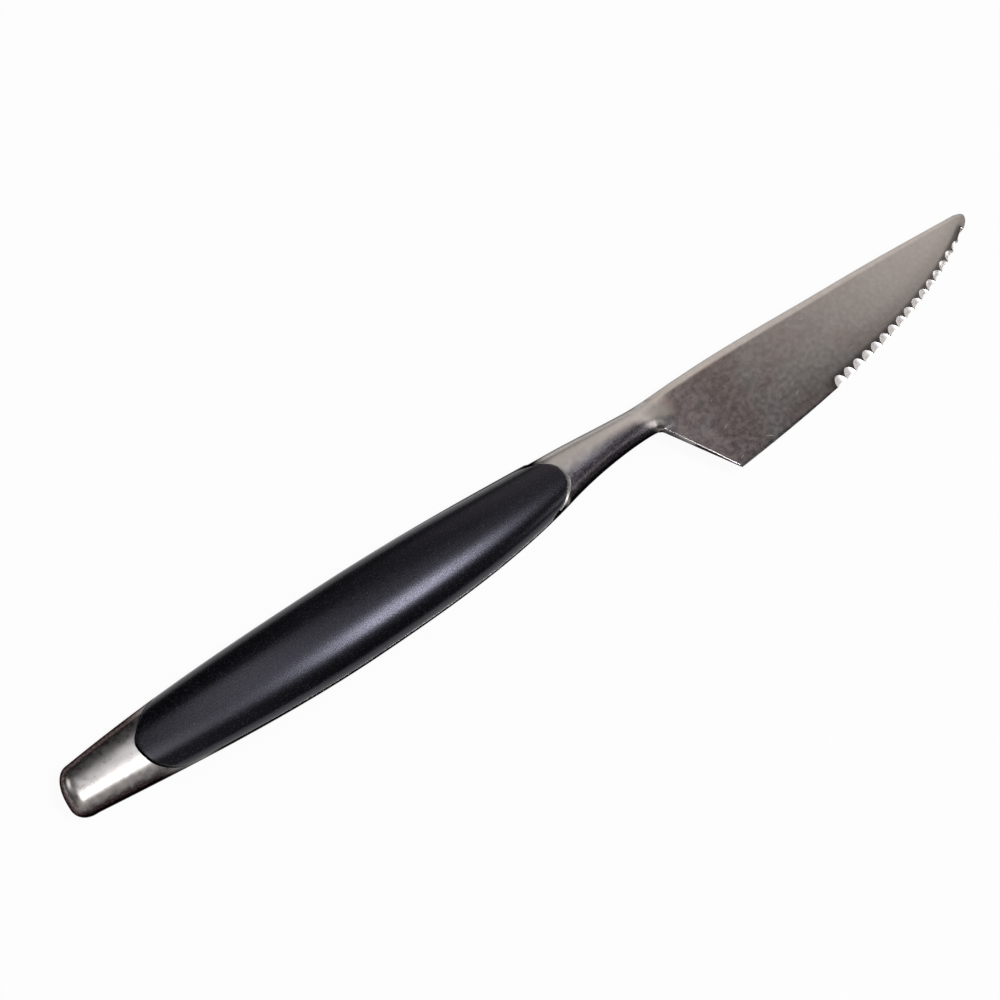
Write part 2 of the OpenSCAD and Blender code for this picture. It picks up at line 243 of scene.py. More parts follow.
class Knife:
    """The knife's form as functions of the place along it."""
    # Slopes of the handle's back, belly and sides at the places that they pass through
    BACK_SLOPES = (0.12, 0, -0.06, -0.06, 0)
    BELLY_SLOPES = (0.13, 0, -0.22, -0.02, 0.7)
    SIDE_SLOPES = (0.05, 0, -0.06, -0.15, -0.45)
    # The spine's arch: its fall at places from the heel to the tip, both as shares of the whole
    SPINE_PLACES = (0, 0.083, 0.23, 0.448, 0.64, 0.793, 0.923, 1)
    SPINE_FALLS = (0, -0.006, 0.075, 0.3, 0.483, 0.688, 0.883, 1)
    # Radii of round ends as shares, at turns in degrees from the knife's length towards the back
    TIP_TURNS = (-105, -82, -57, -25, -5, 12, 30, 50, 73, 100)
    TIP_SHARES = (1, 0.845, 0.745, 0.815, 0.90, 0.98, 0.94, 0.79, 0.725)
    FIRST_TOP_SHARE = 0.77
    REAR_TURNS = (-70, -30, -8, 10, 32, 50, 72)
    REAR_SHARES = (0.94, 0.975, 0.975, 0.995, 0.90, 0.877, 0.91)
    FRONT_TURNS = (-70, -45, -20, 5, 30, 63, 75)
    FRONT_SHARES = (1.0, 0.985, 1.015, 0.995, 0.925, 0.845, 0.855)
    END_ANGLE = math.radians(70)
    # Where the gap behind the scales begins and ends to be worn, in radians
    WEAR_START, WEAR_STOP = (-1.2, -0.8), (0.1, 0.3)
    # Width of the bevel round the scales' front ends as a share, and its cutter
    LIP_TURNS = (-78, -50, -20, 15, 62)
    LIP_SHARES = (0.3, 0.65, 1.0, 0.36, 0.05)
    LIP_OVERSHOOT = 0.6
    LIP_OVERLAP = 0.0001
    LIP_CUT_H = 0.003
    # Powers of the rounded sections: two for an ellipse, more for a fuller form
    DOME_POWER = 2.27
    OBLONG_POWER = 2.5
    OVAL_POWER = 2.1
    BLADE_POWER = 2.0
    # How the neck sinks into the blade
    NECK_FILLET = 0.0022
    FILLET_SHARE = 1.7
    SINK_SHARE = 0.8
    WALL_L = 0.0016
    # Fillets and roundings
    HOLLOW_FILLET = 0.0003
    HOLLOW_ROUND = 0.0026
    RIDGE_FILLET = 0.00012
    SPINE_ROUND = 0.00025
    CHOIL_ROUND = 0.00015
    THIN = 0.00006

    def __init__(self, scene):
        self.b, self.h, self.s = scene.knife_blade, scene.knife_handle, scene.knife_serration
        b, h = self.b, self.h
        self.root_x = OVERALL_L - b.blade_l
        self.heel_x = self.root_x + b.heel_lead
        self.neck_x = self.root_x - h.slim_off
        self.scale_rear = SCALE_LOW.x - STEEL_LOW.x - h.end_gap
        self.scale_front = SCALE_HIGH.x - STEEL_LOW.x + h.end_gap
        self.ground_l = OVERALL_L - self.heel_x
        self.spine_slope = -b.spine_fall / self.ground_l
        self.heel_y = b.spine_y - b.heel_depth
        self.choil_angle = math.atan2(-h.neck_belly - self.heel_y, b.heel_lead)
        self.hollow_x = self.root_x - b.choil_r * math.tan(self.choil_angle / 2)
        self.hollow_y = -h.neck_belly - b.choil_r
        self.taper_y = (b.spine_t - b.heel_t) / 2 / b.heel_depth
        self.taper_x = ((b.tip_t - b.spine_t) / 2 + self.taper_y * b.spine_fall) / self.ground_l
        self.place_outlines()
        self.place_edge()
        self.rear_center = self.scale_rear + h.rear_r
        self.front_center = self.scale_front - h.front_r

    def place_outlines(self):
        """Places and heights that the handle's back, belly and sides pass through."""
        b, h = self.b, self.h
        self.xs = [h.dome_l, h.full_x, self.scale_front, self.neck_x, self.heel_x]
        flare_belly = h.neck_belly + b.heel_lead / 2
        self.side_xs = [*self.xs[:-1], self.root_x + h.sink_off]
        self.backs = [h.pommel_back, h.full_back, h.shoulder_back, h.neck_back, b.spine_y]
        self.bellies = [h.pommel_belly, h.full_belly, h.shoulder_belly, h.neck_belly, flare_belly]
        self.sides = [h.pommel_t / 2, HANDLE_T / 2, h.shoulder_t / 2, h.neck_t / 2, 0]

    def place_edge(self):
        """The tip's rounding, and the three points of the cutting edge."""
        b = self.b
        cx = OVERALL_L - b.tip_r
        self.tip_center = np.array((cx, b.tip_y))
        top_angle = math.radians(self.TIP_TURNS[-1])
        self.tip_top_x = cx + self.FIRST_TOP_SHARE * b.tip_r * math.cos(top_angle)
        top_share = (float(self.spine_at(self.tip_top_x)) - b.tip_y) / math.sin(top_angle) / b.tip_r
        self.tip_shares = (*self.TIP_SHARES, top_share)
        self.tip_top_x = cx + top_share * b.tip_r * math.cos(top_angle)
        angles = np.linspace(-b.tip_wrap, top_angle, TIP_POINTS)
        radius = self.tip_radius(angles)
        self.tip_line = np.stack([cx + radius * np.cos(angles), b.tip_y + radius * np.sin(angles)], 1)
        self.foremost = int(self.tip_line[:, 0].argmax())
        end_off = np.array((math.cos(b.tip_wrap), -math.sin(b.tip_wrap)))
        self.edge_end = self.tip_center + b.tip_r * end_off
        heel = np.array((self.heel_x, self.heel_y))
        heel_way = np.array((math.cos(b.heel_slope), math.sin(b.heel_slope)))
        end_way = np.array((math.cos(b.tip_slope), math.sin(b.tip_slope)))
        knee = heel + heel_way * crossed(self.edge_end - heel, end_way) / crossed(heel_way, end_way)
        self.edge = np.array((heel, knee, self.edge_end))

    def edge_point(self, u):
        """Place on the cutting edge, with u from nothing at the heel to one at the tip's end."""
        u = np.asarray(u, float)[..., None]
        return (1 - u) ** 2 * self.edge[0] + 2 * u * (1 - u) * self.edge[1] + u * u * self.edge[2]

    def edge_height(self, x):
        """Height of the cutting edge at x, and its slope. Behind the heel it runs straight on."""
        a, m, e = self.edge
        qa, qb, qc = a[0] - 2 * m[0] + e[0], 2 * (m[0] - a[0]), a[0] - np.maximum(x, a[0])
        u = (-qb + np.sqrt(qb * qb - 4 * qa * qc)) / (2 * qa)
        way = (1 - u)[..., None] * (m - a) + u[..., None] * (e - m)
        rise = way[..., 1] / way[..., 0]
        return self.edge_point(u)[..., 1] + rise * np.minimum(x - a[0], 0), rise

    def tip_radius(self, angle):
        """Radius of the tip's rounding at an angle from the knife's length."""
        return self.b.tip_r * share_curve(angle, np.radians(self.TIP_TURNS), self.tip_shares)

    def spine_at(self, x):
        """Height of the spine, which falls in a slight arch."""
        along = (x - self.heel_x) / self.ground_l
        return self.b.spine_y - self.b.spine_fall * share_curve(along, self.SPINE_PLACES, self.SPINE_FALLS)

    def blade_half_t(self, x, y):
        """Half of the blade's thickness where nothing is ground off its flat face."""
        b = self.b
        return b.spine_t / 2 + self.taper_x * (x - self.heel_x) + self.taper_y * (y - b.spine_y)

    def back(self, x):
        """Height of the handle's back over the axis."""
        return smooth_curve(x, self.xs, self.backs, self.BACK_SLOPES)

    def belly(self, x):
        """Depth of the handle's belly below the axis."""
        return smooth_curve(x, self.xs, self.bellies, self.BELLY_SLOPES)

    def side(self, x):
        """Half of the handle form's thickness. Ahead of the sink place it goes on below nothing."""
        over = np.maximum(x - self.side_xs[-1], 0)
        side = smooth_curve(x - over, self.side_xs, self.sides, self.SIDE_SLOPES)
        return side + over * self.SIDE_SLOPES[-1]

    def power(self, x):
        """The section is a rounded oblong on the handle and an oval at the neck."""
        neck_l = self.root_x - self.scale_front
        share = np.clip((self.root_x - np.asarray(x, float)) / neck_l, 0, 1)
        return self.OVAL_POWER + (self.OBLONG_POWER - self.OVAL_POWER) * share

    def top(self, x):
        """The upper outline: back, spine and tip."""
        x = np.asarray(x, float)
        arc = np.interp(x, *self.tip_line[self.foremost:][::-1].T)
        blade = np.where(x > self.tip_top_x, arc, self.spine_at(x))
        return np.where(x < self.heel_x, self.back(np.minimum(x, self.heel_x)), blade)

    def bottom(self, x):
        """The lower outline: belly, hollow of the choil, heel, cutting edge and tip."""
        x = np.asarray(x, float)
        r = self.b.choil_r
        hollow = self.hollow_y + np.sqrt(np.maximum(r ** 2 - np.maximum(x - self.hollow_x, 0) ** 2, 0))
        line = self.heel_y + (self.heel_x - x) * math.tan(self.choil_angle)
        line_x = self.hollow_x + r * math.sin(self.choil_angle)
        choil = np.where(x < line_x, hollow, line)
        handle = soft_min(-self.belly(np.minimum(x, self.heel_x)), choil, self.HOLLOW_FILLET)
        arc = np.interp(x, *self.tip_line[:self.foremost + 1].T)
        edge = self.edge_height(np.minimum(x, self.edge_end[0]))[0]
        blade = np.where(x > self.edge_end[0], arc, edge)
        return np.where(x < self.heel_x, handle, blade)

    def handle_half_t(self, x, y):
        """Height of the handle form's skin over the middle plane, below nothing where it has sunk in."""
        x = np.minimum(x, self.heel_x)
        mid = (self.back(x) - self.belly(x)) / 2
        half = (self.back(x) + self.belly(x)) / 2
        p = self.power(x)
        inside = np.maximum(1 - np.abs((y - mid) / half) ** p, 0)
        side = self.side(x)
        sink = self.SINK_SHARE * np.maximum(self.h.neck_t / 2 - side, 0)
        return (side + sink) * inside ** (1 / p) - sink

    def blade_side(self, x, y, right):
        """Height of one side of the blade over the middle plane, with all that is ground off it."""
        b = self.b
        spine_d = (self.top(x) - y) * math.cos(math.atan(self.spine_slope))
        edge_y, rise = self.edge_height(np.minimum(x, self.edge_end[0]))
        edge_d = np.maximum(y - edge_y, 0) / np.sqrt(1 + rise ** 2)
        choil_d = self.rim_distance(x, y)
        face = self.blade_half_t(x, y)
        wall = step_up(x, self.root_x - self.WALL_L, self.root_x + self.WALL_L / 4)
        eased = np.sqrt(1 - np.clip(1 - choil_d / self.HOLLOW_ROUND, 0, 1) ** 2)
        face = face * (wall + (1 - wall) * eased)
        spine_half_t = b.spine_t / 2 + (b.tip_t - b.spine_t) / 2 / self.ground_l * (x - self.heel_x)
        bevel = b.flat_share * spine_half_t + math.tan(b.spine_bevel) * spine_d
        corner = np.clip(1 - spine_d / self.SPINE_ROUND, 0, 1)
        bevel = bevel * (1 - corner ** 4) ** 0.25
        whet = b.edge_half_t + math.tan(b.edge_bevel) * edge_d + np.maximum(x - self.edge_end[0], 0)
        if right:
            serrated_x = self.edge_point(self.serrated_u())[0]
            roll = step_up(x, serrated_x - 3 * b.roll_w, serrated_x)
            roll = roll * (1 - step_up(x, self.edge_end[0] - b.roll_w / 3, self.edge_end[0]))
            width = b.roll_w + (b.tip_roll_w - b.roll_w) * step_up(x, serrated_x, OVERALL_L)
            face = face - roll * b.roll_slope / width / 2 * np.maximum(width - edge_d, 0) ** 2
        side = soft_min(soft_min(face, bevel, self.RIDGE_FILLET), whet, self.RIDGE_FILLET)
        side = np.minimum(side, self.rounded(face, choil_d, self.CHOIL_ROUND))
        off_x, off_y = x - self.tip_center[0], y - self.tip_center[1]
        turn = np.clip(np.arctan2(off_y, off_x), -b.tip_wrap, math.radians(self.TIP_TURNS[-1]))
        tip_d = self.tip_radius(turn) - np.hypot(off_x, off_y)
        at_tip = (x > self.edge_end[0]) & (tip_d < self.SPINE_ROUND)
        return np.where(at_tip, np.minimum(side, self.rounded(face, tip_d, self.SPINE_ROUND)), side)

    def rim_distance(self, x, y):
        """Distance of a place from the choil: its straight line, its hollow or the neck's belly."""
        angle = self.choil_angle
        line = (y - self.heel_y) * math.cos(angle) + (x - self.heel_x) * math.sin(angle)
        off_x, off_y = x - self.hollow_x, y - self.hollow_y
        arc = np.hypot(off_x, off_y) - self.b.choil_r
        distance = np.where(np.arctan2(off_y, off_x) < math.pi / 2 - angle, line, arc)
        return np.maximum(np.where(off_x < 0, y - self.bottom(x), distance), 0)

    def rounded(self, height, distance, radius):
        """Height that falls off in a quarter round next to an outline."""
        radius = np.minimum(radius, np.maximum(0.8 * height, 1e-6))
        inner = np.clip(radius - distance, 0, radius)
        return height - radius + np.sqrt(np.maximum(radius ** 2 - inner ** 2, 0))

    def end_radius(self, angle, rear):
        """Radius of a scale's round end at an angle from the knife's length, towards the back."""
        shares = self.REAR_SHARES if rear else self.FRONT_SHARES
        turns = np.radians(self.REAR_TURNS if rear else self.FRONT_TURNS)
        radius = self.h.rear_r if rear else self.h.front_r
        return radius * share_curve(angle, turns, shares)

    def end_outline(self, rear, inset, worn=0, steps=96):
        """Plan of a scale's end: a full round, and straight runs past the belly and the back."""
        angles = np.linspace(-self.END_ANGLE, self.END_ANGLE, steps)
        wear = step_up(angles, *self.WEAR_START) * (1 - step_up(angles, *self.WEAR_STOP))
        radius = self.end_radius(angles, rear) - inset - worn * wear
        way, center = (-1, self.rear_center) if rear else (1, self.front_center)
        arc = np.stack([center + way * radius * np.cos(angles), radius * np.sin(angles)], 1)
        reach = 2 * self.h.full_belly
        runs = [(arc[i, 0] - way * (reach - abs(arc[i, 1])) * math.tan(self.END_ANGLE), side * reach)
                for i, side in ((0, -1), (-1, 1))]
        return np.concatenate([[runs[0]], arc, [runs[1]]])

    def serrated_u(self):
        """Where the serration ends towards the heel, as the edge's own parameter."""
        u = np.linspace(1, 0, LINE_POINTS)
        points = self.edge_point(u)
        run = np.concatenate([[0], np.cumsum(np.linalg.norm(np.diff(points, axis=0), axis=1))])
        return float(np.interp(self.s.count * self.s.pitch, run, u))

    def half_ring(self, x, right, count):
        """Points of one side of the section at x, from the top to the bottom."""
        a = np.linspace(0, math.pi, count)
        fade = float(step_up(x, self.neck_x, self.heel_x))
        p = float(self.power(x)) * (1 - fade) + self.BLADE_POWER * fade
        top, bottom = float(self.top(x)), float(self.bottom(x))
        y = (top + bottom) / 2 + (top - bottom) / 2 * signed_power(np.cos(a), 2 / p)
        xs = np.full(count, x)
        handle = self.handle_half_t(xs, y)
        if x <= self.neck_x - self.h.slim_off:
            return np.stack([xs, y, float(self.side(x)) * signed_power(np.sin(a), 2 / p)], 1)
        if x >= self.heel_x:
            z = self.blade_side(xs, y, right)
        else:
            grown = float(step_up(x, self.neck_x - self.h.slim_off, self.root_x))
            blade = self.blade_side(xs, y, right) * grown
            fillet = np.minimum(self.NECK_FILLET, self.FILLET_SHARE * np.maximum(blade, 0))
            z = soft_max(handle, blade, fillet)
        z[0] = 0
        if x < self.root_x:
            z[-1] = 0
        return np.stack([xs, y, z], 1)


def stations(knife, fine):
    """Places of the sections along the knife, closer together where the form turns fast."""
    k, b = knife, knife.b
    spans = [(k.h.dome_l, k.scale_rear, 10), (k.scale_rear, k.scale_front, 90),
             (k.scale_front, k.neck_x, 34), (k.neck_x, k.root_x - b.choil_r, 12),
             (k.root_x - b.choil_r, k.heel_x, 64), (k.heel_x, k.edge_end[0], 130)]
    places = []
    for start, stop, count in spans:
        places += list(np.linspace(start, stop, max(2, int(count * fine)), endpoint=False))
    start_x, reach = k.tip_center[0], k.tip_line[k.foremost, 0] - k.tip_center[0]
    start_angle = math.asin((k.edge_end[0] - start_x) / reach)
    angles = np.linspace(start_angle, math.radians(89), int(TIP_ROWS * fine))
    places += list(start_x + reach * np.sin(angles))
    return places


def forging_rings(knife, count, fine):
    """All sections of the forging, as closed rings that start and turn at the top."""
    k, h = knife, knife.h
    rings = []
    for a in np.linspace(0, math.pi / 2, int(DOME_ROWS * fine), endpoint=False)[1:]:
        size = math.sin(a) ** (2 / k.DOME_POWER)
        x = h.dome_l * (1 - math.cos(a) ** (2 / k.DOME_POWER))
        ring = full_ring(k, h.dome_l, count)
        middle = (h.pommel_back - h.pommel_belly) / 2
        ring[:, 0] = x
        ring[:, 1] = middle + (ring[:, 1] - middle) * size - (1 - size) * h.pommel_drop
        ring[:, 2] *= size
        rings.append(ring)
    rings += [full_ring(k, x, count) for x in stations(k, fine)]
    return np.array(rings)


def full_ring(knife, x, count):
    """The closed section at x: down the right side and up the left one."""
    right = knife.half_ring(x, True, count)
    left = knife.half_ring(x, False, count)
    left[:, 2] *= -1
    right[:, 2] = np.maximum(right[:, 2], left[:, 2] + knife.THIN * (right[:, 2] != 0))
    return np.concatenate([right, left[-2:0:-1]])


def in_place(points):
    """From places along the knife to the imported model's frame."""
    axis_y = STEEL_HIGH.y - bpy.context.scene.knife_handle.full_back
    return np.asarray(points, float) + np.array((STEEL_LOW.x, axis_y, MID_Z))


def linked(name, data):
    """A new object in the scene."""
    thing = bpy.data.objects.new(name, data)
    bpy.context.scene.collection.objects.link(thing)
    return thing


def mesh_object(name, points, faces, material):
    """An object with outward faces in one material."""
    mesh = bpy.data.meshes.new(name)
    mesh.from_pydata([tuple(p) for p in points], [], faces)
    mesh.validate()
    mesh.materials.append(material)
    if signed_volume(mesh) < 0:
        mesh.flip_normals()
    return linked(name, mesh)


def signed_volume(mesh):
    """Volume inside the mesh, below nothing if its faces point inwards."""
    mesh.calc_loop_triangles()
    corners = np.zeros(len(mesh.loop_triangles) * 3, np.int32)
    mesh.loop_triangles.foreach_get("vertices", corners)
    places = np.zeros(len(mesh.vertices) * 3)
    mesh.vertices.foreach_get("co", places)
    a, b, c = places.reshape(-1, 3)[corners.reshape(-1, 3)].transpose(1, 0, 2)
    return float(np.einsum("ij,ij->i", a, np.cross(b, c)).sum() / 6)


def grid_faces(rows, columns, closed):
    """Quads between rows of points. In a closed grid each row's end is joined to its start."""
    faces = []
    for j in range(rows - 1):
        for i in range(columns if closed else columns - 1):
            o = (i + 1) % columns
            faces.append((j * columns + i, (j + 1) * columns + i, (j + 1) * columns + o, j * columns + o))
    return faces


def skin(rings, start_point=None):
    """Points and faces of a skin over closed rings. The first ring closes on a point or a flat cap."""
    m, n = rings.shape[:2]
    points = [tuple(p) for p in rings.reshape(-1, 3)]
    faces = grid_faces(m, n, True)
    if start_point is None:
        faces.append(tuple(range(n)))
    else:
        points.append(tuple(start_point))
        faces += [(len(points) - 1, i, (i + 1) % n) for i in range(n)]
    faces.append(tuple((m - 1) * n + i for i in range(n - 1, -1, -1)))
    return points, faces


def baked(piece, name):
    """A plain mesh object of what the piece is after its modifiers, in place of the piece."""
    graph = bpy.context.evaluated_depsgraph_get()
    mesh = bpy.data.meshes.new_from_object(piece.evaluated_get(graph), depsgraph=graph)
    mesh.name = name
    bpy.data.objects.remove(piece)
    return linked(name, mesh)


def cut(piece, cutters, name):
    """The piece less all the cutters, which are removed. Cut faces keep the cutter's material."""
    for cutter in cutters:
        boolean = piece.modifiers.new("cut", "BOOLEAN")
        boolean.operation = "DIFFERENCE"
        boolean.solver = "EXACT"
        boolean.use_self = True
        boolean.material_mode = "TRANSFER"
        boolean.object = cutter
    result = baked(piece, name)
    for cutter in cutters:
        bpy.data.objects.remove(cutter)
    return result


def smooth_shading(piece, angle):
    """Smooth faces, with sharp edges past an angle in degrees and between two materials."""
    mesh = piece.data
    mesh.shade_smooth()
    mesh.set_sharp_from_angle(angle=math.radians(angle))
    form = bmesh.new()
    form.from_mesh(mesh)
    for edge in form.edges:
        if len({face.material_index for face in edge.link_faces}) > 1:
            edge.smooth = False
    form.to_mesh(mesh)
    form.free()


class Graph:
    """Adds nodes to a tree and links them, so that a finish reads as a list of steps."""

    def __init__(self, tree):
        self.tree = tree

    def add(self, kind, inputs=None, **settings):
        node = self.tree.nodes.new(kind)
        for key, value in settings.items():
            setattr(node, key, value)
        for key, value in (inputs or {}).items():
            self.feed(node.inputs[key], value)
        return node

    def feed(self, socket, value):
        if isinstance(value, bpy.types.NodeSocket):
            self.tree.links.new(value, socket)
        elif socket.type == "RGBA" and len(value) == 3:
            socket.default_value = (*value, 1)
        else:
            socket.default_value = value

    def math(self, operation, *values):
        node = self.add("ShaderNodeMath", operation=operation)
        for socket, value in zip(node.inputs, values):
            self.feed(socket, value)
        return node.outputs[0]

    def folded(self, operation, values):
        """The values taken together one after the other."""
        total = values[0]
        for value in values[1:]:
            total = self.math(operation, total, value)
        return total

    def times(self, *values):
        return self.folded("MULTIPLY", values)

    def plus(self, *values):
        return self.folded("ADD", values)

    def most(self, *values):
        return self.folded("MAXIMUM", values)

    def less(self, a, b):
        return self.math("SUBTRACT", a, b)

    def over(self, a, b):
        return self.math("DIVIDE", a, b)

    def line(self, value, factor, rest):
        """The value times a factor, plus a rest."""
        return self.math("MULTIPLY_ADD", value, factor, rest)

    def vector(self, operation, *values):
        node = self.add("ShaderNodeVectorMath", operation=operation)
        for socket, value in zip(node.inputs, values):
            self.feed(socket, value)
        return node.outputs["Value" if operation in ("DOT_PRODUCT", "LENGTH") else "Vector"]

    def scaled(self, vector, factor):
        """A vector or a colour times a number."""
        if not isinstance(vector, bpy.types.NodeSocket):
            vector = tuple(vector)
        return self.add("ShaderNodeVectorMath", {0: vector, "Scale": factor}, operation="SCALE").outputs[0]

    def ramp(self, value, low, high, start=0.0, stop=1.0):
        """From start below low to stop above high, smooth between them."""
        node = self.add("ShaderNodeMapRange", {0: value, 1: low, 2: high, 3: start, 4: stop},
                        interpolation_type="SMOOTHSTEP")
        return node.outputs[0]

    def fall(self, value, low, high):
        """One below low and nothing above high."""
        return self.ramp(value, low, high, 1.0, 0.0)

    def spread(self, noise, low, high):
        """A noise, whose usual range is stretched to reach from low to high."""
        return self.ramp(noise, 0.3, 0.7, low, high)

    def fitted(self, value, places, heights, degree):
        """The value put through the polynomial that fits the heights over the places."""
        terms = [float(term) for term in np.polyfit(places, heights, degree)]
        total = terms[0]
        for term in terms[1:]:
            total = self.line(total, value, term)
        return total

    def mix(self, factor, a, b):
        node = self.add("ShaderNodeMix", {0: factor}, data_type="RGBA")
        self.feed(node.inputs[6], a)
        self.feed(node.inputs[7], b)
        return node.outputs[2]

    def noise(self, vector, scale, detail=2.0, roughness=0.5):
        node = self.add("ShaderNodeTexNoise", {"Vector": vector, "Scale": scale, "Detail": detail,
                                               "Roughness": roughness})
        return node.outputs["Fac"]

    def place(self):
        return self.add("ShaderNodeTexCoord").outputs["Object"]

    def parts(self, vector):
        """The X, Y and Z of a vector."""
        return self.add("ShaderNodeSeparateXYZ", {0: vector}).outputs

    def joined(self, x, y, z):
        """The vector with these three parts."""
        return self.add("ShaderNodeCombineXYZ", {0: x, 1: y, 2: z}).outputs[0]

    def bump(self, height, distance):
        """A normal that follows the height, which is as deep as the distance."""
        return self.add("ShaderNodeBump", {"Distance": distance, "Height": height}).outputs[0]

    def turned(self, vector, angle, stretch):
        """The place turned about Z and then stretched, for a pattern that runs one way."""
        turn = self.add("ShaderNodeVectorRotate", {"Vector": vector, "Angle": math.radians(angle)},
                        rotation_type="Z_AXIS")
        return self.vector("MULTIPLY", turn.outputs[0], stretch)


class Finish(Graph):
    """A new material with one shader, whose inputs are set when the finish is worked out."""

    def __init__(self, name):
        self.material = bpy.data.materials.new(name)
        self.material.use_nodes = True
        super().__init__(self.material.node_tree)
        self.tree.nodes.clear()

    def done(self, tint, roughness, **others):
        """The material, with these values or patterns on its shader."""
        shader = self.add("ShaderNodeBsdfPrincipled", {"Base Color": tint, "Roughness": roughness})
        for name, value in others.items():
            self.feed(shader.inputs[name.replace("_", " ")], value)
        return self.shown(shader.outputs[0])

    def shown(self, surface):
        self.add("ShaderNodeOutputMaterial", {"Surface": surface})
        return self.material


def scratches(graph, place):
    """Fine marks of use, in two directions: one where a mark is, and nothing between them."""
    marks = []
    for angle, stretch in ((34, (260, 8200, 60)), (-18, (350, 9000, 90))):
        lines = graph.noise(graph.turned(place, angle, stretch), 1.0, 1.0)
        marks.append(graph.ramp(lines, 0.775, 0.84))
    return graph.most(*marks)


def edge_shade(graph, knife, x, y):
    """Painted shade on the face over the serration, for the dark reflection where the face rolls over towards
    the edge: deepest at the scoops, gone some way up the face.

    It has a narrow core and a wide rim. Each fades over distances in metres from the edge and its ends.
    """
    places = np.linspace(knife.heel_x, knife.edge_end[0], FIT_POINTS)
    heights, rises = knife.edge_height(places)
    shares = (places - knife.heel_x) / knife.ground_l
    along = graph.over(graph.less(x, STEEL_LOW.x + knife.heel_x), knife.ground_l)
    edge_y = graph.fitted(along, shares, heights + in_place((0, 0, 0))[1], 4)
    lean = graph.fitted(along, shares, 1 / np.sqrt(1 + rises ** 2), 2)
    off = graph.times(graph.less(y, edge_y), lean, graph.line(along, 0.85, 0.69))
    start = STEEL_LOW.x + float(knife.edge_point(knife.serrated_u())[0])
    stop = STEEL_LOW.x + float(knife.edge_end[0])
    core = graph.times(graph.less(1.0, graph.ramp(off, 0.0017, 0.0031, EDGE_CORE, 1.0)),
                       graph.ramp(x, start - 0.003, start + 0.001),
                       graph.ramp(x, stop - 0.001, stop + 0.001, 1.0, EDGE_AT_TIP))
    wide = graph.times(graph.less(1.0, graph.ramp(off, 0.002, 0.0078, EDGE_WIDE, 1.0)),
                       graph.ramp(x, start - 0.02, start))
    return graph.times(graph.less(1.0, core), graph.less(1.0, wide))


def root_shade(graph, knife, x, y):
    """Painted shade on the steel round the blade's root, below the spine, where the neck meets the blade."""
    root = STEEL_LOW.x + knife.root_x
    spine_y = float(in_place((0, knife.b.spine_y, 0))[1])
    near = graph.times(graph.ramp(x, root - 0.0035, root + 0.001), graph.fall(x, root + 0.004, root + 0.0085),
                       graph.fall(y, spine_y - 0.003, spine_y - 0.0012))
    return graph.line(near, -ROOT_SHADE_DEPTH, 1.0)


def shade_shares(graph, knife, x, y, facing, blotch):
    """Where the pommel is, how far painted shade covers the steel, and how deep it is there.

    The painted shade stands in for dark reflections and shadow: it lies on the pommel's sides, below a border
    along the neck, on the tang's edges and in the choil, deepest on faces that turn downwards.
    Each fades over distances in metres from the scales' ends and the blade's root.
    """
    rear, front, root = (STEEL_LOW.x + v for v in (knife.scale_rear, knife.scale_front, knife.root_x))
    axis = float(in_place((0, 0, 0))[1])
    level = graph.math("ABSOLUTE", facing[2])
    on_pommel = graph.fall(x, rear, rear + 0.012)
    tilted = graph.plus(level, graph.line(blotch, 0.2, -0.1))
    upper = graph.times(graph.fall(tilted, 0.8, 0.965), graph.ramp(facing[1], 0.0, 0.3))
    upright = graph.times(graph.most(upper, graph.fall(tilted, 0.60, 0.92)), on_pommel)
    border = graph.plus(graph.ramp(x, front, front + 0.013, axis - 0.0002, axis + 0.0006),
                        graph.ramp(x, front + 0.0175, root + 0.0025, 0.0, -0.0047))
    below = graph.times(graph.fall(graph.less(y, border), -0.0014, 0.001),
                        graph.ramp(x, front - 0.003, front - 0.001), graph.fall(x, root, root + 0.0035))
    tang = graph.times(graph.ramp(x, rear + 0.006, rear + 0.014), graph.fall(x, front - 0.004, front),
                       graph.fall(level, 0.9, 0.98))
    choil = graph.times(graph.fall(facing[0], -0.75, -0.5), graph.ramp(x, root + 0.0033, root + 0.0042))
    depth = graph.times(graph.ramp(facing[1], -0.85, -0.35, 0.3, 1.0), graph.line(tang, -0.75, 1.0))
    return on_pommel, graph.most(upright, below, tang, choil), depth


